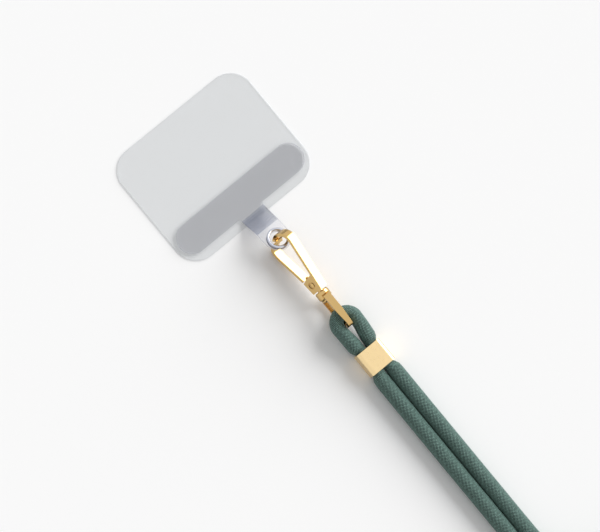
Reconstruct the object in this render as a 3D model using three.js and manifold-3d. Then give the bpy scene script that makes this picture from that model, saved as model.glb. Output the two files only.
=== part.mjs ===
// A phone lanyard lying flat: clear patch and insert, eyelet, snap hook on a swivel bail, and a
// doubled braided cord. Millimetres, +Z up, +X from the patch towards the cord. Stations along the
// axis are measured from the gate's pivot.
import * as THREE from 'three';
import { mergeVertices } from 'three/addons/utils/BufferGeometryUtils.js';
import Module from 'manifold-3d';

const wasm = await Module();
wasm.setup();

// Clear patch and insert
const patchLength = 40.6;
const patchWidth = 50.5;
const patchThickness = 0.25;
const patchCorner = 7.6;
const patchToPivot = 66.8;
const insertThickness = 0.5;
const pillWidth = 48;
const pillLength = 9.8;
const pillInset = 27.9;
const neckWidth = 8.5;
const layerGap = 0.1;

// Eyelet in the end of the insert
const eyeletToPivot = 17.4;
const holeRadius = 2.65;
const eyeletWall = 0.25;
const flangeRadius = 3.45;
const flangeThickness = 0.35;
const eyeletRim = 0.5;
const eyeletLift = 5.6;
const eyeletAside = -0.1;
const insertPitch = 14;
const insertRoll = 13;

// Snap hook, stamped and cast from strip
const hookRoll = 58;
const stripWidth = 3;
const stripThickness = 1;
const bendX = -15;
const bendY = 1.6;
const bendRadius = 3.8;
const spineTaper = 10;
const noseEnd = 222;
const grooveAt = 204;
const grooveTurn = 4;
const grooveDepth = 0.45;
const gateReach = 17;
const tongueThickness = 0.4;
const tongueStart = 209;
const blockEnd = 2.5;
const cheekThickness = 0.55;
const pinRadius = 0.5;
const pinHeadRadius = 0.85;
const pinHeadHeight = 0.25;
const counterboreRadius = 1.15;
const counterboreDepth = 0.2;
const gateRootWidth = 0.7;
const springWire = 0.3;
const springRadius = 0.85;

// Swivel and bail
const axisHeight = 4.75;
const rivetRadius = 0.95;
const rivetHeadRadius = 1.7;
const rivetHeadHeight = 0.9;
const bossRadius = 2.2;
const bossStart = 2.85;
const bossEnd = 5.6;
const bailTop = 4.1;
const bailEnd = 16.7;
const bailWall = 0.95;
const bailInside = 5.6;
const bailWidth = 2.3;
const bailFootWidth = 1.6;
const bailCorner = 1.9;

// Cord and the clamp that holds it
const cordDiameter = 4.9;
const bightTop = 9.9;
const bightWidth = 4.3;
const bightRadius = 3.25;
const clampStart = 24.8;
const clampLength = 7.9;
const clampWidth = 8.9;
const clampHeight = 6;
const clampWall = 0.5;
const clampCorner = 1.3;
const clampSeam = 0.4;
const strandSpacing = 5.24;
const cordJoint = 29;

// Stored length of the cord, wound outside the straight run
const coilX = 155;
const coilInner = 16.5;
const coilOuter = 34;
const coilLift = 0.8;
const coilHeight = 10;
const tieWidth = 7;
const tieThickness = 0.5;

const slimClearance = 0.2;
const curveSteps = 14;
const radians = THREE.MathUtils.degToRad;

// Everything is centred on the object without its free cord
const originShift = (patchToPivot - clampStart - clampLength) / 2;

const clearFilm = new THREE.MeshStandardMaterial({
  color: '#dfe3e6',
  roughness: 0.12,
  metalness: 0,
  transparent: true,
  opacity: 0.4,
});
const gold = new THREE.MeshStandardMaterial({ color: '#e2bf78', roughness: 0.18, metalness: 1 });
const nickel = new THREE.MeshStandardMaterial({ color: '#cfd2d8', roughness: 0.2, metalness: 1 });
const steel = new THREE.MeshStandardMaterial({ color: '#9b9da1', roughness: 0.3, metalness: 1 });
const greenCord = new THREE.MeshStandardMaterial({ color: '#2f5a50', roughness: 0.85, metalness: 0 });
const blackTie = new THREE.MeshStandardMaterial({ color: '#1d211f', roughness: 0.7, metalness: 0 });

// Closed solid from a geometry, its shared corners merged
function solidOf(geometry) {
  const bare = geometry.clone();
  for (const name of Object.keys(bare.attributes)) {
    if (name !== 'position') bare.deleteAttribute(name);
  }
  const merged = mergeVertices(bare, 1e-4);
  return new wasm.Manifold(new wasm.Mesh({
    numProp: 3,
    vertProperties: new Float32Array(merged.attributes.position.array),
    triVerts: new Uint32Array(merged.index.array),
  }));
}

function geometryOf(solid) {
  const mesh = solid.getMesh();
  const geometry = new THREE.BufferGeometry();
  geometry.setAttribute('position', new THREE.BufferAttribute(new Float32Array(mesh.vertProperties), 3));
  geometry.setIndex(new THREE.BufferAttribute(new Uint32Array(mesh.triVerts), 1));
  geometry.computeVertexNormals();
  return geometry;
}

function named(name, geometry, material) {
  const mesh = new THREE.Mesh(geometry, material);
  mesh.name = name;
  return mesh;
}

// Prism of an outline, centred on its own thickness
function plate(shape, thickness, segments = curveSteps) {
  const settings = { depth: thickness, bevelEnabled: false, curveSegments: segments };
  const geometry = new THREE.ExtrudeGeometry(shape, settings);
  return geometry.translate(0, 0, -thickness / 2);
}

function roundedRectangle(path, length, width, corner) {
  const x = length / 2 - corner;
  const y = width / 2 - corner;
  path.moveTo(-x, -y - corner);
  path.lineTo(x, -y - corner);
  path.absarc(x, -y, corner, -Math.PI / 2, 0, false);
  path.absarc(x, y, corner, 0, Math.PI / 2, false);
  path.absarc(-x, y, corner, Math.PI / 2, Math.PI, false);
  path.absarc(-x, -y, corner, Math.PI, 1.5 * Math.PI, false);
  return path;
}

// Outline of a strip of even thickness along a plane curve
function stripShape(curve, thickness, steps) {
  const left = [];
  const right = [];
  for (let i = 0; i <= steps; i += 1) {
    const at = curve.getPointAt(i / steps);
    const along = curve.getTangentAt(i / steps);
    const side = new THREE.Vector2(-along.y, along.x).multiplyScalar(thickness / 2);
    left.push(new THREE.Vector2(at.x + side.x, at.y + side.y));
    right.unshift(new THREE.Vector2(at.x - side.x, at.y - side.y));
  }
  return new THREE.Shape([...left, ...right]);
}

// Upright cylinder along Z
function rod(radius, length, sides = 24) {
  return new THREE.CylinderGeometry(radius, radius, length, sides).rotateX(Math.PI / 2);
}

// Turned body along Z from pairs of radius and height
function turned(profile, sides = 32) {
  const points = profile.map(([radius, height]) => new THREE.Vector2(radius, height));
  return new THREE.LatheGeometry(points, sides).rotateX(Math.PI / 2);
}

function polar(radius, degrees) {
  return [bendX + radius * Math.cos(radians(degrees)), bendY + radius * Math.sin(radians(degrees))];
}

// Sector of the hook's bend between two angles
function bendSector(inner, outer, from, to) {
  const shape = new THREE.Shape();
  shape.moveTo(...polar(outer, from));
  shape.absarc(bendX, bendY, outer, radians(from), radians(to), false);
  shape.lineTo(...polar(inner, to));
  shape.absarc(bendX, bendY, inner, radians(to), radians(from), true);
  return shape;
}

function patchFilm() {
  const outline = roundedRectangle(new THREE.Shape(), patchLength, patchWidth, patchCorner);
  const geometry = plate(outline, patchThickness, 10);
  geometry.translate(patchLength / 2 - patchToPivot, 0, patchThickness / 2);
  return named('patch_film', geometry, clearFilm);
}

// The insert is flat under the patch and climbs to the eyelet, turning a little about its own length
const insertEnd = flangeRadius + eyeletRim;
const insertRest = patchThickness + layerGap + insertThickness / 2;
const climbStart = -(patchToPivot - pillInset) + pillLength;
const climbEnd = -eyeletToPivot - insertEnd;

function insertHeight(x, y) {
  const share = THREE.MathUtils.smoothstep(x, climbStart, climbEnd);
  const sloped = eyeletLift + (x + eyeletToPivot) * Math.tan(radians(insertPitch));
  const rolled = -(y - eyeletAside) * Math.tan(radians(insertRoll));
  return insertRest + share * (sloped + rolled - insertRest);
}

function eyeletFrame() {
  const frame = new THREE.Group();
  frame.position.set(-eyeletToPivot, eyeletAside, eyeletLift);
  frame.rotation.set(-radians(insertRoll), -radians(insertPitch), 0);
  frame.updateMatrix();
  return frame;
}

function insertTab() {
  const start = -(patchToPivot - pillInset);
  const end = -eyeletToPivot + insertEnd;
  const pill = roundedRectangle(new THREE.Shape(), pillLength, pillWidth, pillLength / 2 - 0.01);
  const pillSolid = solidOf(plate(pill, 40, 10).translate(start + pillLength / 2, 0, 0));
  const neck = new THREE.Shape();
  neck.moveTo(start + pillLength / 2, -neckWidth / 2);
  neck.lineTo(-eyeletToPivot, -neckWidth / 2);
  neck.absarc(-eyeletToPivot, eyeletAside, insertEnd, -Math.PI / 2, Math.PI / 2, false);
  neck.lineTo(-eyeletToPivot, neckWidth / 2);
  neck.lineTo(start + pillLength / 2, neckWidth / 2);
  const outline = pillSolid.add(solidOf(plate(neck, 40, 10)));
  const sheet = new THREE.BoxGeometry(end - start + 2, pillWidth + 2, insertThickness, 40, 1, 1);
  sheet.translate((start + end) / 2, 0, 0);
  const corners = sheet.attributes.position;
  for (let i = 0; i < corners.count; i += 1) {
    corners.setZ(i, corners.getZ(i) + insertHeight(corners.getX(i), corners.getY(i)));
  }
  const hole = rod(holeRadius + eyeletWall + slimClearance, 8, 32).applyMatrix4(eyeletFrame().matrix);
  const tab = solidOf(sheet).intersect(outline).subtract(solidOf(hole));
  return named('insert_tab', geometryOf(tab), clearFilm);
}

// Barrel with a rolled top flange, and the washer that its lower end is spread against
function eyelet() {
  const frame = eyeletFrame();
  const face = insertThickness / 2 + slimClearance;
  const top = face + flangeThickness;
  const tube = holeRadius + eyeletWall;
  const crown = flangeThickness * 0.4;
  frame.add(named('eyelet_barrel', turned([
    [holeRadius, -top],
    [tube, -top],
    [tube, face],
    [flangeRadius, face],
    [flangeRadius, top - crown],
    [flangeRadius - crown, top],
    [tube, top + crown / 2],
    [holeRadius, top - crown],
    [holeRadius, -top],
  ]), nickel));
  frame.add(named('eyelet_washer', turned([
    [tube + slimClearance, -top],
    [flangeRadius, -top + crown],
    [flangeRadius, -face],
    [tube + slimClearance, -face],
    [tube + slimClearance, -top],
  ]), nickel));
  return frame;
}

// Gate's middle line: straight from the root, round the shoulder and in under the nose.
// Its end is cut to an arc about the pivot, so it clears the nose as it swings in
const gateLine = new THREE.CatmullRomCurve3([
  [-2.4, -1.88],
  [-5.5, -2.5],
  [-9, -3.2],
  [-12.2, -3.85],
  [-14, -4],
  [-15.3, -3.75],
  [-16.2, -2.8],
  [-16.6, -1.6],
  [-16.75, -0.5],
].map(([x, y]) => new THREE.Vector3(x, y, 0)), false, 'centripetal');

const slotWidth = stripWidth - 2 * cheekThickness;
const blockFace = [[-1.95, -2.35], [blockEnd, -1.95], [blockEnd, 2.35], [-2.8, 3.3], [-2.8, 2.1]];

// Spine, bend and nose from one strip, with the pivot block at its root
function hookFrame() {
  const inner = bendRadius - stripThickness;
  const normal = new THREE.Vector2(Math.sin(radians(spineTaper)), Math.cos(radians(spineTaper)));
  const run = (blockEnd - bendX - bendRadius * normal.x) / normal.y;
  const along = new THREE.Vector2(normal.y, -normal.x).multiplyScalar(run);
  const spine = new THREE.Shape();
  spine.moveTo(bendX + inner * normal.x, bendY + inner * normal.y);
  spine.lineTo(bendX + inner * normal.x + along.x, bendY + inner * normal.y + along.y);
  spine.lineTo(bendX + bendRadius * normal.x + along.x, bendY + bendRadius * normal.y + along.y);
  spine.lineTo(bendX + bendRadius * normal.x, bendY + bendRadius * normal.y);
  let frame = solidOf(plate(spine, stripWidth));
  frame = frame.add(solidOf(plate(bendSector(inner, bendRadius, 88 - spineTaper, noseEnd), stripWidth, 22)));
  const groove = bendSector(bendRadius - grooveDepth, bendRadius + 1, grooveAt, grooveAt + grooveTurn);
  frame = frame.subtract(solidOf(plate(groove, stripWidth + 1)));
  const block = new THREE.Shape(blockFace.map(([x, y]) => new THREE.Vector2(x, y)));
  frame = frame.add(solidOf(plate(block, stripWidth)));
  const slot = new THREE.Shape();
  slot.moveTo(-4, -3);
  slot.lineTo(1.3, -3);
  slot.lineTo(1.3, 1.35);
  slot.lineTo(-4, 2.0);
  frame = frame.subtract(solidOf(plate(slot, slotWidth)));
  frame = frame.subtract(solidOf(rod(pinRadius + slimClearance, 6)));
  const seat = rod(counterboreRadius, 2 * counterboreDepth);
  frame = frame.subtract(solidOf(seat.clone().translate(0, 0, stripWidth / 2)));
  frame = frame.subtract(solidOf(seat.clone().translate(0, 0, -stripWidth / 2)));
  const bore = new THREE.CylinderGeometry(rivetRadius + slimClearance, rivetRadius + slimClearance, 4, 20);
  frame = frame.subtract(solidOf(bore.rotateZ(Math.PI / 2).translate(blockEnd + 1, 0.15, 0)));
  return named('hook_frame', geometryOf(frame), gold);
}

function hookGate() {
  const tongueOuter = bendRadius - stripThickness - slimClearance;
  let gate = solidOf(plate(stripShape(gateLine, stripThickness, 36), stripWidth));
  gate = gate.intersect(solidOf(rod(gateReach, stripWidth + 1, 180)));
  const tongue = bendSector(tongueOuter - tongueThickness, tongueOuter, tongueStart, noseEnd + 18);
  gate = gate.add(solidOf(plate(tongue, stripWidth)));
  const root = new THREE.Shape();
  root.moveTo(-3.4, -2.5);
  root.lineTo(-0.2, -1.9);
  root.absarc(0, 0, 1.15, -Math.PI * 0.55, Math.PI * 0.6, false);
  root.lineTo(-3, -1.2);
  const reach = (slotWidth - gateRootWidth) / 2 - slimClearance;
  gate = gate.add(solidOf(plate(root, gateRootWidth).translate(0, 0, -reach)));
  gate = gate.subtract(solidOf(rod(pinRadius + slimClearance, 6)));
  return named('hook_gate', geometryOf(gate), gold);
}

function gatePin() {
  const shoulder = stripWidth / 2 - counterboreDepth + slimClearance / 2;
  const end = shoulder + pinHeadHeight;
  return named('gate_pin', turned([
    [0, -end - 0.08],
    [pinHeadRadius * 0.6, -end],
    [pinHeadRadius, -end + 0.12],
    [pinHeadRadius, -shoulder],
    [pinRadius, -shoulder],
    [pinRadius, shoulder],
    [pinHeadRadius, shoulder],
    [pinHeadRadius, end - 0.12],
    [pinHeadRadius * 0.6, end],
    [0, end + 0.08],
  ], 24), nickel.clone());
}

// Torsion spring round the pin, beside the gate's root, one leg on the gate's side and one on the block's
function gateSpring() {
  const points = [new THREE.Vector3(-1.9, springRadius, 0.25), new THREE.Vector3(-1, springRadius, 0.25)];
  const turns = 1.25;
  const steps = 15;
  for (let i = 0; i <= steps; i += 1) {
    const angle = Math.PI / 2 - 2 * Math.PI * turns * (i / steps);
    const rise = 0.25 + 0.5 * turns * (i / steps) * 0.9;
    points.push(new THREE.Vector3(springRadius * Math.cos(angle), springRadius * Math.sin(angle), rise));
  }
  const path = new THREE.CatmullRomCurve3(points);
  const wire = new THREE.Shape().absarc(0, 0, springWire / 2, 0, 2 * Math.PI, false);
  const settings = { steps: 34, curveSegments: 8, extrudePath: path, bevelEnabled: false };
  const geometry = new THREE.ExtrudeGeometry(wire, settings);
  return named('gate_spring', geometry, steel);
}

// Headed rivet on which the bail turns
function swivelRivet() {
  const head = bossEnd + slimClearance;
  const profile = [
    [0, 1.7],
    [rivetRadius, 1.7],
    [rivetRadius, head],
    [rivetHeadRadius, head],
    [rivetHeadRadius, head + rivetHeadHeight * 0.5],
    [rivetHeadRadius * 0.6, head + rivetHeadHeight],
    [0, head + rivetHeadHeight * 1.1],
  ];
  const geometry = turned(profile, 24).rotateY(Math.PI / 2);
  return named('swivel_rivet', geometry.translate(0, 0, axisHeight), gold);
}

// Bail: a boss on the swivel, and a tapering strip loop standing on edge round the cord
function bail() {
  const length = bailEnd - bailTop;
  const height = bailInside + 2 * bailWall;
  const loop = roundedRectangle(new THREE.Shape(), length, height, bailCorner);
  const opening = new THREE.Path();
  roundedRectangle(opening, length - 2 * bailWall, bailInside, bailCorner - bailWall / 2);
  loop.holes.push(opening);
  const upright = plate(loop, bailWidth, 8).rotateX(Math.PI / 2);
  const strip = solidOf(upright.translate(length / 2 + bailTop, 0, axisHeight));
  const taper = new THREE.Shape();
  taper.moveTo(bailTop - 1, -bailWidth / 2);
  taper.lineTo(bailTop + length * 0.55, -bailWidth / 2);
  taper.lineTo(bailEnd - 1.6, -bailFootWidth / 2);
  taper.lineTo(bailEnd + 1, -bailFootWidth / 2);
  taper.lineTo(bailEnd + 1, bailFootWidth / 2);
  taper.lineTo(bailEnd - 1.6, bailFootWidth / 2);
  taper.lineTo(bailTop + length * 0.55, bailWidth / 2);
  taper.lineTo(bailTop - 1, bailWidth / 2);
  const boss = turned([
    [0, bossStart],
    [bossRadius - 0.3, bossStart],
    [bossRadius, bossStart + 0.3],
    [bossRadius, bossEnd - 0.3],
    [bossRadius - 0.3, bossEnd],
    [0, bossEnd],
  ], 28).rotateY(Math.PI / 2).translate(0, 0, axisHeight);
  const bore = rod(rivetRadius + slimClearance, 8).rotateY(Math.PI / 2).translate(bossStart, 0, axisHeight);
  const body = strip.intersect(solidOf(plate(taper, 40))).add(solidOf(boss)).subtract(solidOf(bore));
  return named('bail', geometryOf(body), gold);
}

// Folded sleeve with its seam underneath
function clampSleeve() {
  const outline = roundedRectangle(new THREE.Shape(), clampHeight, clampWidth, clampCorner);
  const inside = new THREE.Path();
  roundedRectangle(inside, clampHeight - 2 * clampWall, clampWidth - 2 * clampWall, clampCorner - clampWall);
  outline.holes.push(inside);
  const settings = { depth: clampLength, bevelEnabled: false, curveSegments: 8 };
  const sleeve = new THREE.ExtrudeGeometry(outline, settings);
  sleeve.rotateY(Math.PI / 2).translate(clampStart, 0, clampHeight / 2);
  const seam = new THREE.BoxGeometry(clampLength + 2, clampSeam, 2 * clampWall);
  const cut = solidOf(seam.translate(clampStart + clampLength / 2, 0, 0));
  return named('clamp_sleeve', geometryOf(solidOf(sleeve).subtract(cut)), gold);
}

// A strand is nipped in where the sleeve holds it
const heldSpacing = 4;
const heldWidth = 3.5;
const heldHeight = 4.2;
const nipEase = 3.2;
const nipLead = 0.6;

function nipShare(x) {
  const clampFinish = clampStart + clampLength;
  const before = THREE.MathUtils.smoothstep(x, clampStart - nipEase, clampStart - nipLead);
  const after = 1 - THREE.MathUtils.smoothstep(x, clampFinish + slimClearance, clampFinish + nipEase);
  return Math.min(before, after);
}

function nip(geometry, side, height) {
  const free = strandSpacing / 2;
  const level = clampHeight / 2;
  const corners = geometry.attributes.position;
  for (let i = 0; i < corners.count; i += 1) {
    const share = nipShare(corners.getX(i));
    const y = corners.getY(i);
    const middle = Math.sign(y) * free;
    const moved = Math.sign(y) * heldSpacing / 2 + (y - middle) * side;
    corners.setY(i, y + share * (moved - y));
    corners.setZ(i, level + (corners.getZ(i) - level) * (1 + share * (height - 1)));
  }
  return geometry;
}

// The cord's end loop through the bail, flattened a little, both ends in the clamp
function cordBight() {
  const middleX = bightTop + bightWidth / 2 + bightRadius;
  const half = strandSpacing / 2;
  const route = [
    [cordJoint - slimClearance, half, clampHeight / 2],
    [clampStart + 1.4, half, clampHeight / 2],
    [clampStart - 0.6, half, clampHeight / 2],
    [clampStart - 3.4, half + 0.15, clampHeight / 2 + 0.75],
    [clampStart - 6.2, half + 0.45, clampHeight / 2 + 1.4],
    [middleX, bightRadius, axisHeight],
    [middleX - bightRadius * 0.5, bightRadius * 0.866, axisHeight],
    [middleX - bightRadius * 0.866, bightRadius * 0.5, axisHeight],
  ];
  const right = route.map(([x, y, z]) => new THREE.Vector3(x, y, z));
  const left = route.map(([x, y, z]) => new THREE.Vector3(x, -y, z)).reverse();
  const crown = new THREE.Vector3(middleX - bightRadius, 0, axisHeight);
  const path = new THREE.CatmullRomCurve3([...right, crown, ...left]);
  const section = new THREE.Shape();
  section.absellipse(0, 0, cordDiameter / 2, bightWidth / 2, 0, 2 * Math.PI, false, 0);
  const settings = { steps: 60, curveSegments: 6, extrudePath: path, bevelEnabled: false };
  const geometry = new THREE.ExtrudeGeometry(section, settings);
  return nip(geometry, heldWidth / bightWidth, heldHeight / cordDiameter);
}

const group = new THREE.Group();
const object = new THREE.Group();
object.position.x = originShift;
group.add(object);
object.add(patchFilm(), insertTab(), eyelet());
const hook = new THREE.Group();
hook.position.z = axisHeight;
hook.rotation.x = radians(hookRoll);
hook.add(hookFrame(), hookGate(), gatePin(), gateSpring());
object.add(hook, swivelRivet(), bail(), clampSleeve());
object.add(named('cord_bight', cordBight(), greenCord));


// Turned ring for the wound length, its section rounded by the turns on the outside
function cordCoil() {
  const round = cordDiameter / 2;
  const low = coilLift;
  const high = coilLift + coilHeight;
  const bevel = round * 0.5;
  const geometry = turned([
    [coilInner + bevel, low],
    [coilOuter - bevel, low],
    [coilOuter, low + bevel],
    [coilOuter, high - bevel],
    [coilOuter - bevel, high],
    [coilInner + bevel, high],
    [coilInner, high - bevel],
    [coilInner, low + bevel],
    [coilInner + bevel, low],
  ], 48);
  return named('cord_coil', geometry.translate(coilX, 0, 0), greenCord);
}

// Band strapped round the far side of the coil
function coilTie() {
  const near = Math.sqrt(coilInner ** 2 - (tieWidth / 2) ** 2) - slimClearance;
  const far = coilOuter + slimClearance;
  const height = coilHeight + 2 * slimClearance;
  const wall = 2 * tieThickness;
  const outline = roundedRectangle(new THREE.Shape(), far - near + wall, height + wall, 1.5);
  outline.holes.push(roundedRectangle(new THREE.Path(), far - near, height, 1));
  const geometry = plate(outline, tieWidth, 6).rotateX(Math.PI / 2);
  geometry.translate(coilX + (near + far) / 2, 0, coilLift + coilHeight / 2);
  return named('coil_tie', geometry, blackTie);
}

// One strand from the clamp, straight beside its twin, then apart and round to the coil
function cordRun(name, side) {
  const half = strandSpacing / 2;
  const level = clampHeight / 2;
  const points = [
    [cordJoint + slimClearance, half, level],
    [clampStart + clampLength - 0.8, half, level],
    [clampStart + clampLength + 1.2, half, level],
    [clampStart + clampLength + 3.6, half, level - 0.2],
    [44, half, 2.7],
    [60, half, 2.6],
    [80, half, 2.6],
    [97, half, 2.6],
    [102, half + 0.15, 2.7],
    [106, 3.5, 2.8],
    [109.3, 5.3, 2.9],
    [114.7, 9.3, 3.1],
    [121.5, 14.5, 3.3],
  ].map(([x, y, z]) => new THREE.Vector3(x, side * y, z));
  const path = new THREE.CatmullRomCurve3(points);
  const section = new THREE.Shape().absarc(0, 0, cordDiameter / 2, 0, 2 * Math.PI, false);
  const settings = { steps: 38, curveSegments: 5, extrudePath: path, bevelEnabled: false };
  const geometry = new THREE.ExtrudeGeometry(section, settings);
  return named(name, nip(geometry, heldWidth / cordDiameter, heldHeight / cordDiameter), greenCord);
}

object.add(cordRun('cord_run_a', -1), cordRun('cord_run_b', 1), cordCoil(), coilTie());

export default group;
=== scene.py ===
import math
import bmesh
import bpy
from mathutils import Matrix, Vector


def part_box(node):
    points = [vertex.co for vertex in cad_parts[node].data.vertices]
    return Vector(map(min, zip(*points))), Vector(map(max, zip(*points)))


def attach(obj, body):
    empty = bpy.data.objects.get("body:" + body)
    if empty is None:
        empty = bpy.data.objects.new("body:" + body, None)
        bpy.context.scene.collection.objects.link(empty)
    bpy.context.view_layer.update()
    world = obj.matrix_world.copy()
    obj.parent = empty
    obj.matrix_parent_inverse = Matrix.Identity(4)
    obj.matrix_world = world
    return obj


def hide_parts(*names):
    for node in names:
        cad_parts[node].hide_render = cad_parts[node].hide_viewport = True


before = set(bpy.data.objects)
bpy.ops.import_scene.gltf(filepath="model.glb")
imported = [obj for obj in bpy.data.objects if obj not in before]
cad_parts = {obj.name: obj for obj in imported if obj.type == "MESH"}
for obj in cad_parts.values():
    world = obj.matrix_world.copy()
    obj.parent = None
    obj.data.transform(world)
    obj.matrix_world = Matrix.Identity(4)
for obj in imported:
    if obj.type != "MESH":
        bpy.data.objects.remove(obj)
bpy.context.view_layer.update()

mm = 0.001
print("frame loaded")

# Where things are, taken from the frame
clampLow, clampHigh = (Vector(corner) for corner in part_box("clamp_sleeve"))
bailLow, bailHigh = (Vector(corner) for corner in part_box("bail"))
coilLow, coilHigh = (Vector(corner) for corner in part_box("cord_coil"))
patchLow = Vector(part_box("patch_film")[0])
patchToPivot = 66.8
pivotX = patchLow.x + patchToPivot * mm


# A place in the frame from millimetres along the axis past the gate's pivot, across and up
def station(x, y, z):
    return Vector((pivotX + x * mm, y * mm, z * mm))


def linearColour(hexCode):
    channels = [int(hexCode[i:i + 2], 16) / 255 for i in (1, 3, 5)]
    return [c / 12.92 if c <= 0.04045 else ((c + 0.055) / 1.055) ** 2.4 for c in channels] + [1.0]


def addNode(tree, kind, settings=None, links=None):
    node = tree.nodes.new(kind)
    for key, value in (settings or {}).items():
        if isinstance(key, int) or key in node.inputs:
            node.inputs[key].default_value = value
        else:
            setattr(node, key, value)
    for socket, source in (links or {}).items():
        tree.links.new(source, node.inputs[socket])
    return node


# A sum, product or the like of numbers and sockets
def addMath(tree, operation, *values):
    settings = {"operation": operation}
    links = {}
    for i, value in enumerate(values):
        if isinstance(value, (int, float)):
            settings[i] = value
        else:
            links[i] = value
    return addNode(tree, "ShaderNodeMath", settings, links).outputs[0]


def addNoise(tree, patchSize, detail):
    coordinate = addNode(tree, "ShaderNodeTexCoord")
    settings = {"Scale": 1 / (patchSize * mm), "Detail": detail}
    return addNode(tree, "ShaderNodeTexNoise", settings, {"Vector": coordinate.outputs["Object"]}).outputs[0]


def addRelief(tree, strength, depth, height):
    settings = {"Strength": strength, "Distance": depth * mm}
    return addNode(tree, "ShaderNodeBump", settings, {"Height": height}).outputs[0]


def mixColours(tree, dark, light, share):
    settings = {"data_type": "RGBA", 6: linearColour(dark), 7: linearColour(light)}
    return addNode(tree, "ShaderNodeMix", settings, {0: share}).outputs[2]


def newMaterial(name):
    material = bpy.data.materials.new(name)
    material.use_nodes = True
    material.node_tree.nodes.clear()
    return material, material.node_tree


def addShader(tree, settings, links):
    shader = addNode(tree, "ShaderNodeBsdfPrincipled", settings, links)
    addNode(tree, "ShaderNodeOutputMaterial", links={"Surface": shader.outputs[0]})


# Camera above the lanyard, tipped towards its -Y side, the long axis running down to the right
camera = {
    "pixelSize": 0.30, "imageWidth": 600, "imageHeight": 532,
    "pinPixel": (311.8, 285.8), "pinFront": (0, -1.27, 5.54), "axisRight": 0.637, "axisDown": 0.771,
    "tilt": 12.0, "distance": 1300.0, "sensor": 36, "farthest": 20,
}


def makeCamera(c):
    tilt = math.radians(c["tilt"])
    across = Vector((0, math.cos(tilt), math.sin(tilt)))
    towards = Vector((0, -math.sin(tilt), math.cos(tilt)))
    along = Vector((1, 0, 0))
    right = along * c["axisRight"] + across * c["axisDown"]
    up = along * -c["axisDown"] + across * c["axisRight"]
    stepRight = (c["imageWidth"] / 2 - c["pinPixel"][0]) * c["pixelSize"] * mm
    stepDown = (c["imageHeight"] / 2 - c["pinPixel"][1]) * c["pixelSize"] * mm
    middle = station(*c["pinFront"]) + right * stepRight - up * stepDown
    data = bpy.data.cameras.new("camera")
    data.sensor_width = c["sensor"]
    data.lens = c["sensor"] * c["distance"] / (c["pixelSize"] * c["imageWidth"])
    data.clip_end = c["farthest"]
    view = bpy.data.objects.new("camera", data)
    place = Matrix((right, up, towards)).transposed().to_4x4()
    place.translation = middle + towards * c["distance"] * mm
    view.matrix_world = place
    bpy.context.collection.objects.link(view)
    bpy.context.scene.camera = view


makeCamera(camera)
bpy.context.scene.view_settings.view_transform = "Standard"
print("camera placed")

# Sizes of the surface patterns, in mm
patternSizes = {
    "fleck": 0.4, "braidRelief": 0.16, "strapRelief": 0.12, "buffing": 3.8, "glossPatch": 1.1,
    "platingRelief": 0.08, "filmRipple": 22.0, "filmRelief": 0.4,
}


# Braided polyester: two sets of yarns crossing at 45 degrees, each stitch a short rounded hump. Its colour
# follows the stitch height: a painted highlight on the stitch tops and painted shade in the grooves between
# yarns, under random flecks
def braidMaterial(name, dark, light, stitch):
    material, tree = newMaterial(name)
    uv = addNode(tree, "ShaderNodeUVMap", {"uv_map": "along"})
    split = addNode(tree, "ShaderNodeSeparateXYZ", links={0: uv.outputs[0]})
    along, around = split.outputs[0], split.outputs[1]
    rising = addMath(tree, "DIVIDE", addMath(tree, "ADD", along, around), stitch)
    falling = addMath(tree, "DIVIDE", addMath(tree, "SUBTRACT", along, around), stitch)

    def hump(count):
        return addMath(tree, "ABSOLUTE", addMath(tree, "SINE", addMath(tree, "MULTIPLY", count, math.pi)))

    crossings = addMath(tree, "ADD", addMath(tree, "FLOOR", rising), addMath(tree, "FLOOR", falling))
    over = addMath(tree, "PINGPONG", crossings, 1.0)
    risingHump = hump(rising)
    fallingHump = hump(falling)
    yarn = addNode(tree, "ShaderNodeMix", {"data_type": "FLOAT"}, {0: over, 2: risingHump, 3: fallingHump})
    both = addMath(tree, "MULTIPLY", risingHump, fallingHump)
    height = addMath(tree, "MULTIPLY_ADD", yarn.outputs[0], 0.45, both)
    # Painted light: high stitch tops take the light colour as a painted highlight, low grooves the dark colour
    # as painted shade
    humpHighlightShare = addNode(tree, "ShaderNodeMapRange", {"From Min": 0.35, "From Max": 1.25}, {0: height})
    flecked = addMath(tree, "MULTIPLY", humpHighlightShare.outputs[0], addNoise(tree, patternSizes["fleck"], 2.0))
    tone = addNode(tree, "ShaderNodeMath", {"operation": "MULTIPLY", 1: 1.7, "use_clamp": True}, {0: flecked})
    addShader(tree, {
        "Roughness": 0.62, "Specular IOR Level": 0.35, "Sheen Weight": 0.2, "Sheen Roughness": 0.4,
        "Sheen Tint": linearColour("#9fb8b2"),
    }, {
        "Base Color": mixColours(tree, dark, light, tone.outputs[0]),
        "Normal": addRelief(tree, 0.9, patternSizes["braidRelief"], height),
    })
    return material


# Woven strap: ribs across the weave under a short nap. Its colour follows the ribs: a painted highlight on the
# crests and painted shade in the troughs, with random flecks
def strapMaterial(name, dark, light, rib):
    material, tree = newMaterial(name)
    coordinate = addNode(tree, "ShaderNodeTexCoord")
    ribs = addNode(tree, "ShaderNodeTexWave", {
        "bands_direction": "Y", "Scale": math.pi / 10 / (rib * mm), "Distortion": 1.5, "Detail": 2.0,
    }, {"Vector": coordinate.outputs["Object"]})
    # Painted light: the colour is lighter on the rib crests and darker in the troughs, as the relief
    tone = addMath(tree, "MULTIPLY", ribs.outputs[1], addNoise(tree, patternSizes["fleck"], 2.0))
    addShader(tree, {"Roughness": 0.85, "Specular IOR Level": 0.25}, {
        "Base Color": mixColours(tree, dark, light, tone),
        "Normal": addRelief(tree, 0.6, patternSizes["strapRelief"], ribs.outputs[1]),
    })
    return material


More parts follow.
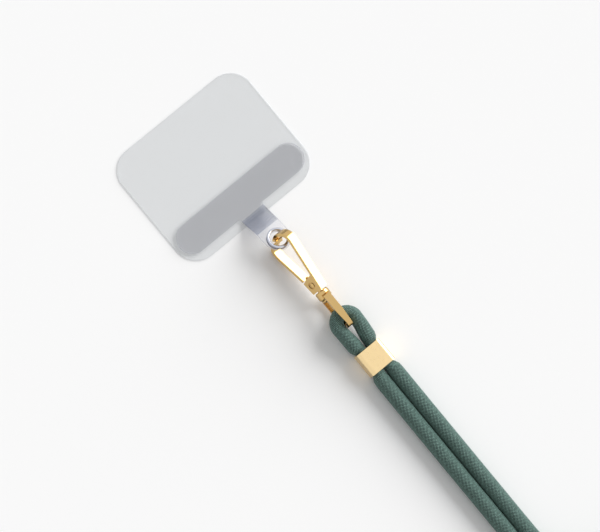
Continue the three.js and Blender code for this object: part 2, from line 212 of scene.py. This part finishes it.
# Plated zinc or brass, polished: bright, with faint buffing waves and small changes of gloss
def platedMaterial(name, hexCode, roughness):
    material, tree = newMaterial(name)
    gloss = addNode(tree, "ShaderNodeMapRange", {"To Min": roughness * 0.75, "To Max": roughness * 1.35},
                    {0: addNoise(tree, patternSizes["glossPatch"], 3.0)})
    buffing = addNoise(tree, patternSizes["buffing"], 1.0)
    addShader(tree, {"Base Color": linearColour(hexCode), "Metallic": 1.0}, {
        "Roughness": gloss.outputs[0],
        "Normal": addRelief(tree, 0.12, patternSizes["platingRelief"], buffing),
    })
    return material


# Clear film: a thin faint grey veil with a glossy face, denser where it is seen edge on
def filmMaterial(name, hexCode, alpha, roughness):
    material, tree = newMaterial(name)
    rim = addNode(tree, "ShaderNodeLayerWeight", {"Blend": 0.25})
    veil = addNode(tree, "ShaderNodeMapRange", {"To Min": alpha, "To Max": 0.85}, {0: rim.outputs["Facing"]})
    ripple = addNoise(tree, patternSizes["filmRipple"], 1.0)
    addShader(tree, {
        "Base Color": linearColour(hexCode), "Roughness": roughness, "IOR": 1.5,
        "Coat Weight": 0.6, "Coat Roughness": 0.05,
    }, {
        "Alpha": veil.outputs[0],
        "Normal": addRelief(tree, 0.08, patternSizes["filmRelief"], ripple),
    })
    return material


finishes = {
    "gold": platedMaterial("gold plated zinc, polished", "#cfae74", 0.15),
    "clampGold": platedMaterial("gold plated zinc, satin", "#ecd2a0", 0.28),
    "nickel": platedMaterial("nickel plated brass, polished", "#c4c7d2", 0.16),
    "steel": platedMaterial("spring steel wire, drawn", "#8b8d92", 0.3),
    "film": filmMaterial("polyester film, clear", "#e2e7ea", 0.05, 0.12),
    "insert": filmMaterial("urethane sheet, clear", "#cdcfdb", 0.09, 0.2),
    # The cut edges of film and sheet take a denser grey veil: a painted edge line in place of the light that
    # the clear edges catch
    "filmEdge": filmMaterial("polyester film, cut edge, painted edge light", "#aab2b9", 0.75, 0.3),
    "insertEdge": filmMaterial("urethane sheet, moulded edge, painted edge light", "#9ea4b4", 0.7, 0.3),
    # The cord's light colour is a painted highlight and its dark colour painted shade, laid by stitch height
    "cord": braidMaterial("polyester braid, dark teal", "#051d18", "#8db3a8", 0.62),
    # The strap's light colour is a painted highlight on the rib crests, its dark colour painted shade in the
    # troughs
    "tie": strapMaterial("woven strap, black", "#0c0e0d", "#474d4a", 0.8),
}
print("materials made")


# A smooth curve through all the points, in samples about one step apart
def smoothRoute(points, step):
    samples = []
    for i in range(len(points) - 1):
        a = points[max(i - 1, 0)]
        b = points[i]
        c = points[i + 1]
        d = points[min(i + 2, len(points) - 1)]
        count = max(2, round((c - b).length / step))
        for j in range(count):
            t = j / count
            samples.append(0.5 * (2 * b + (c - a) * t + (2 * a - 5 * b + 4 * c - d) * t * t
                                  + (3 * b - a - 3 * c + d) * t ** 3))
    samples.append(points[-1].copy())
    return samples


def finishPiece(name, mesh, material):
    data = bpy.data.meshes.new(name)
    mesh.to_mesh(data)
    mesh.free()
    data.materials.append(material)
    piece = bpy.data.objects.new(name, data)
    bpy.context.collection.objects.link(piece)
    return piece


# An oval tube along a route, its UV map in mm along the cord and around it
def ovalTube(name, route, sides, section, material):
    mesh = bmesh.new()
    uvLayer = mesh.loops.layers.uv.new("along")
    rings = []
    distances = [0.0]
    for before, after in zip(route, route[1:]):
        distances.append(distances[-1] + (after - before).length)
    for i, centre in enumerate(route):
        direction = (route[min(i + 1, len(route) - 1)] - route[max(i - 1, 0)]).normalized()
        side = Vector((0, 0, 1)).cross(direction).normalized()
        lift = direction.cross(side)
        width, height = section(centre)
        ring = []
        for k in range(sides):
            turn = 2 * math.pi * k / sides
            offset = side * math.cos(turn) * width / 2 + lift * math.sin(turn) * height / 2
            ring.append(mesh.verts.new(centre + offset))
        rings.append(ring)
    around = math.pi * cordSizes["diameter"]
    for i in range(len(rings) - 1):
        for k in range(sides):
            near = (k + 1) % sides
            face = mesh.faces.new([rings[i][k], rings[i][near], rings[i + 1][near], rings[i + 1][k]])
            face.smooth = True
            places = [(i, k), (i, k + 1), (i + 1, k + 1), (i + 1, k)]
            for loop, (ring, turn) in zip(face.loops, places):
                loop[uvLayer].uv = (distances[ring] / mm, around * turn / sides)
    mesh.faces.new(list(reversed(rings[0])))
    mesh.faces.new(rings[-1])
    bmesh.ops.recalc_face_normals(mesh, faces=mesh.faces)
    return finishPiece(name, mesh, material), distances[-1]


# Cord: one closed loop whose two ends meet in the clamp, its spare length in two layers of turns
cordSizes = {
    "diameter": 5.0, "strandSpacing": 5.1, "heldSpacing": 4.0, "heldWidth": 3.8, "heldHeight": 4.6,
    "heldEase": 2.6, "length": 1.21, "sides": 24, "step": 1.6,
    "turns": 6, "lastPart": 254, "arrival": 233, "outerTurn": 31.5, "pitch": 4.95, "climb": 0.9,
    "pointsPerTurn": 24,
    "bightWidth": 4.3, "bightRadius": 3.25, "bightTop": 9.9, "bightSides": 28, "bightStep": 0.8,
    "swellStart": 16, "swellLength": 6, "looseGap": 0.2,
}
clampMiddle = (clampLow + clampHigh) / 2


# How far the clamp squeezes the cord at a place on the axis: 0 outside, 1 inside
def nipShare(x):
    ease = cordSizes["heldEase"] * mm
    before = min(1.0, max(0.0, (x - (clampLow.x - ease)) / ease))
    after = min(1.0, max(0.0, ((clampHigh.x + ease) - x) / ease))
    share = min(before, after)
    return share * share * (3 - 2 * share)


def nipRoute(route, c):
    for point in route:
        share = nipShare(point.x)
        if share > 0:
            point.y -= math.copysign(share * (c["strandSpacing"] - c["heldSpacing"]) / 2 * mm, point.y)
            point.z += share * (clampMiddle.z - point.z)


# The flat coil, from its outer turn in, up a layer and out again
def coilTurns(c):
    centre = Vector(((coilLow.x + coilHigh.x) / 2, 0, coilLow.z))
    total = c["turns"] + c["lastPart"] / 360
    layer = (total - c["climb"]) / 2
    count = round(total * c["pointsPerTurn"])
    points = []
    for i in range(count + 1):
        turned = total * i / count
        inward = min(turned, layer, total - turned)
        radius = c["outerTurn"] - c["pitch"] * inward
        rise = min(1.0, max(0.0, (turned - layer) / c["climb"]))
        angle = math.radians(c["arrival"]) + 2 * math.pi * turned
        level = c["diameter"] / 2 + rise * c["pitch"]
        points.append(centre + Vector((radius * math.cos(angle), radius * math.sin(angle), level)) * mm)
    return points


def makeCord(c):
    half = c["strandSpacing"] / 2
    strand = [
        (29.3, half, 3.0), (31.9, half, 3.0), (33.9, half, 3.0), (36.3, half, 2.8), (44, half, 2.7),
        (60, half, 2.6), (80, half, 2.6), (97, half, 2.6), (102, half + 0.15, 2.7), (106, 3.5, 2.8),
        (109.3, 5.3, 2.9), (114.7, 9.3, 3.1), (121.5, 14.5, 3.3),
    ]
    leaving = [station(x, -y, z) for x, y, z in strand]
    coming = [station(x, y, z) for x, y, z in reversed(strand)]
    # The strand that comes back starts from the coil's upper layer
    coming[0].z += 1.6 * mm
    coming[1].z += 0.6 * mm
    route = smoothRoute(leaving + coilTurns(c) + coming, c["step"] * mm)

    def section(centre):
        share = nipShare(centre.x)
        width = c["diameter"] + share * (c["heldWidth"] - c["diameter"])
        height = c["diameter"] + share * (c["heldHeight"] - c["diameter"])
        return width * mm, height * mm

    nipRoute(route, c)
    cord, length = ovalTube("neckCord", route, c["sides"], section, finishes["cord"])
    print("cord length", round(length, 4))
    return cord, route


neckCord, neckRoute = makeCord(cordSizes)
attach(neckCord, "cord_side")
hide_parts("cord_run_a", "cord_run_b", "cord_coil")


# The end loop of the cord, round the bail and back into the clamp
def makeBight(c):
    half = c["strandSpacing"] / 2
    crownX = c["bightTop"] + c["bightWidth"] / 2
    level = (bailLow.z + bailHigh.z) / 2 / mm
    side = [
        (28.8, half, 3.0), (26.2, half, 3.0), (24.2, half, 3.0), (21.4, half + 0.15, 3.75),
        (18.6, half + 0.45, 4.4),
    ]
    bend = []
    for degrees in range(0, 91, 15):
        angle = math.radians(degrees)
        x = crownX + c["bightRadius"] * (1 - math.sin(angle))
        bend.append((x, c["bightRadius"] * math.cos(angle), level))
    right = [station(x, y, z) for x, y, z in side + bend]
    left = [Vector((p.x, -p.y, p.z)) for p in reversed(right[:-1])]
    route = smoothRoute(right + left, c["bightStep"] * mm)

    def section(centre):
        share = nipShare(centre.x)
        past = centre.x - station(c["swellStart"], 0, 0).x
        swell = min(1.0, max(0.0, past / (c["swellLength"] * mm)))
        width = c["bightWidth"] + swell * (c["strandSpacing"] - c["looseGap"] - c["bightWidth"])
        width += share * (c["heldWidth"] - width)
        height = c["diameter"] + share * (c["heldHeight"] - c["diameter"])
        return width * mm, height * mm

    nipRoute(route, c)
    return ovalTube("cordLoop", route, c["bightSides"], section, finishes["cord"])[0]


cordLoop = makeBight(cordSizes)
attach(cordLoop, "cord_side")
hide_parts("cord_bight")
print("cord made")

# Hard pieces: each solid's copy, with the round of its corners in mm
hardPieces = {
    "hook_frame": {"name": "hookFrame", "body": "hook", "slot": "gold", "finish": "gold", "corner": 0.09},
    "hook_gate": {"name": "hookGate", "body": "gate", "slot": "gold", "finish": "gold", "corner": 0.09},
    "gate_pin": {"name": "gatePin", "body": "hook", "slot": "gold", "finish": "gold", "corner": 0.05},
    "swivel_rivet": {"name": "swivelRivet", "body": "hook", "slot": "gold", "finish": "gold", "corner": 0.1},
    "bail": {"name": "bailLoop", "body": "cord_side", "slot": "gold", "finish": "gold", "corner": 0.14},
    "eyelet_barrel": {
        "name": "eyeletBarrel", "body": "hook", "slot": "nickel", "finish": "nickel", "corner": 0.05,
    },
    "eyelet_washer": {
        "name": "eyeletWasher", "body": "hook", "slot": "nickel", "finish": "nickel", "corner": 0.05,
    },
    "patch_film": {
        "name": "patchFilm", "body": "hook", "slot": "clear_film", "finish": "film", "corner": 0.06,
        "edge": "filmEdge",
    },
    "insert_tab": {
        "name": "insertTab", "body": "hook", "slot": "clear_insert", "finish": "insert", "corner": 0.08,
        "edge": "insertEdge", "flatten": 0.05,
    },
    "clamp_sleeve": {
        "name": "clampSleeve", "body": "cord_side", "slot": "gold", "finish": "clampGold", "corner": 0.12,
    },
    "coil_tie": {
        "name": "coilTie", "body": "cord_side", "slot": "black_tie", "finish": "tie", "corner": 0.12,
    },
}
copying = {"weld": 0.002, "flatten": 1.5, "sharpAngle": 32, "segments": 2, "edgeSlope": 0.8}


# A solid's copy with its triangles joined, its corners rounded and its faces shaded smooth
def roundedCopy(node, look):
    mesh = bmesh.new()
    mesh.from_mesh(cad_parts[node].data)
    mesh.transform(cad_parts[node].matrix_world)
    bmesh.ops.remove_doubles(mesh, verts=mesh.verts, dist=copying["weld"] * mm)
    flatten = math.radians(look.get("flatten", copying["flatten"]))
    bmesh.ops.dissolve_limit(mesh, angle_limit=flatten, verts=mesh.verts, edges=mesh.edges)
    limit = math.radians(copying["sharpAngle"])
    sharp = [e for e in mesh.edges if len(e.link_faces) == 2 and e.calc_face_angle() > limit]
    bmesh.ops.bevel(mesh, geom=sharp, offset=look["corner"] * mm, offset_type="OFFSET", affect="EDGES",
                    segments=copying["segments"], profile=0.5, material=-1, clamp_overlap=True)
    for edge in mesh.edges:
        edge.smooth = True
    for face in mesh.faces:
        face.smooth = True
        # Steep faces, the cut edges, take the edge finish: a painted edge line
        if "edge" in look and abs(face.normal.z) < copying["edgeSlope"]:
            face.material_index = 1
    piece = finishPiece(look["name"], mesh, finishes[look["finish"]])
    if "edge" in look:
        piece.data.materials.append(finishes[look["edge"]])
    weighted = piece.modifiers.new("even faces", "WEIGHTED_NORMAL")
    weighted.keep_sharp = True
    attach(piece, look["body"])
    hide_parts(node)
    return piece


for node, look in hardPieces.items():
    roundedCopy(node, look)

# The spring stays the frame's own solid, in drawn wire
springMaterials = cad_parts["gate_spring"].data.materials
springMaterials.clear()
springMaterials.append(finishes["steel"])
print("hard pieces finished")

# Pale floor and soft light, the lamp low on the +Y side so that the hook's broad faces shine
studio = {
    "floorSize": 3.0, "floorDrop": 0.1, "floorColour": "#fcfcfc", "floorRoughness": 0.9, "floorGloss": 0.1,
    "fill": 0.48, "lampDirection": (0.0, 0.9, 0.43), "lampStrength": 3.6, "lampSpread": 52,
}


def makeFloor(c):
    mesh = bmesh.new()
    bmesh.ops.create_grid(mesh, x_segments=1, y_segments=1, size=c["floorSize"])
    bmesh.ops.translate(mesh, verts=mesh.verts, vec=(0, 0, -c["floorDrop"] * mm))
    material, tree = newMaterial("painted board, white")
    addShader(tree, {
        "Base Color": linearColour(c["floorColour"]), "Roughness": c["floorRoughness"],
        "Specular IOR Level": c["floorGloss"],
    }, {})
    finishPiece("floor", mesh, material)


# The world is white where it is seen, also in metal and film, and a softer fill for all else
def makeWorld(c):
    world = bpy.data.worlds.new("studio")
    bpy.context.scene.world = world
    world.use_nodes = True
    tree = world.node_tree
    tree.nodes.clear()
    rays = addNode(tree, "ShaderNodeLightPath").outputs
    seen = addMath(tree, "MAXIMUM", rays["Is Camera Ray"], rays["Is Glossy Ray"])
    clear = addMath(tree, "MAXIMUM", seen, rays["Is Transmission Ray"])
    strength = addNode(tree, "ShaderNodeMapRange", {"To Min": c["fill"], "To Max": 1.0}, {0: clear})
    backdrop = addNode(tree, "ShaderNodeBackground", {"Color": (1, 1, 1, 1)}, {"Strength": strength.outputs[0]})
    addNode(tree, "ShaderNodeOutputWorld", links={"Surface": backdrop.outputs[0]})


def makeLamp(c):
    lamp = bpy.data.lights.new("main lamp", "SUN")
    lamp.energy = c["lampStrength"]
    lamp.angle = math.radians(c["lampSpread"])
    holder = bpy.data.objects.new("main lamp", lamp)
    holder.rotation_euler = Vector(c["lampDirection"]).to_track_quat("Z", "Y").to_euler()
    bpy.context.collection.objects.link(holder)


makeFloor(studio)
makeWorld(studio)
makeLamp(studio)
print("studio lit")
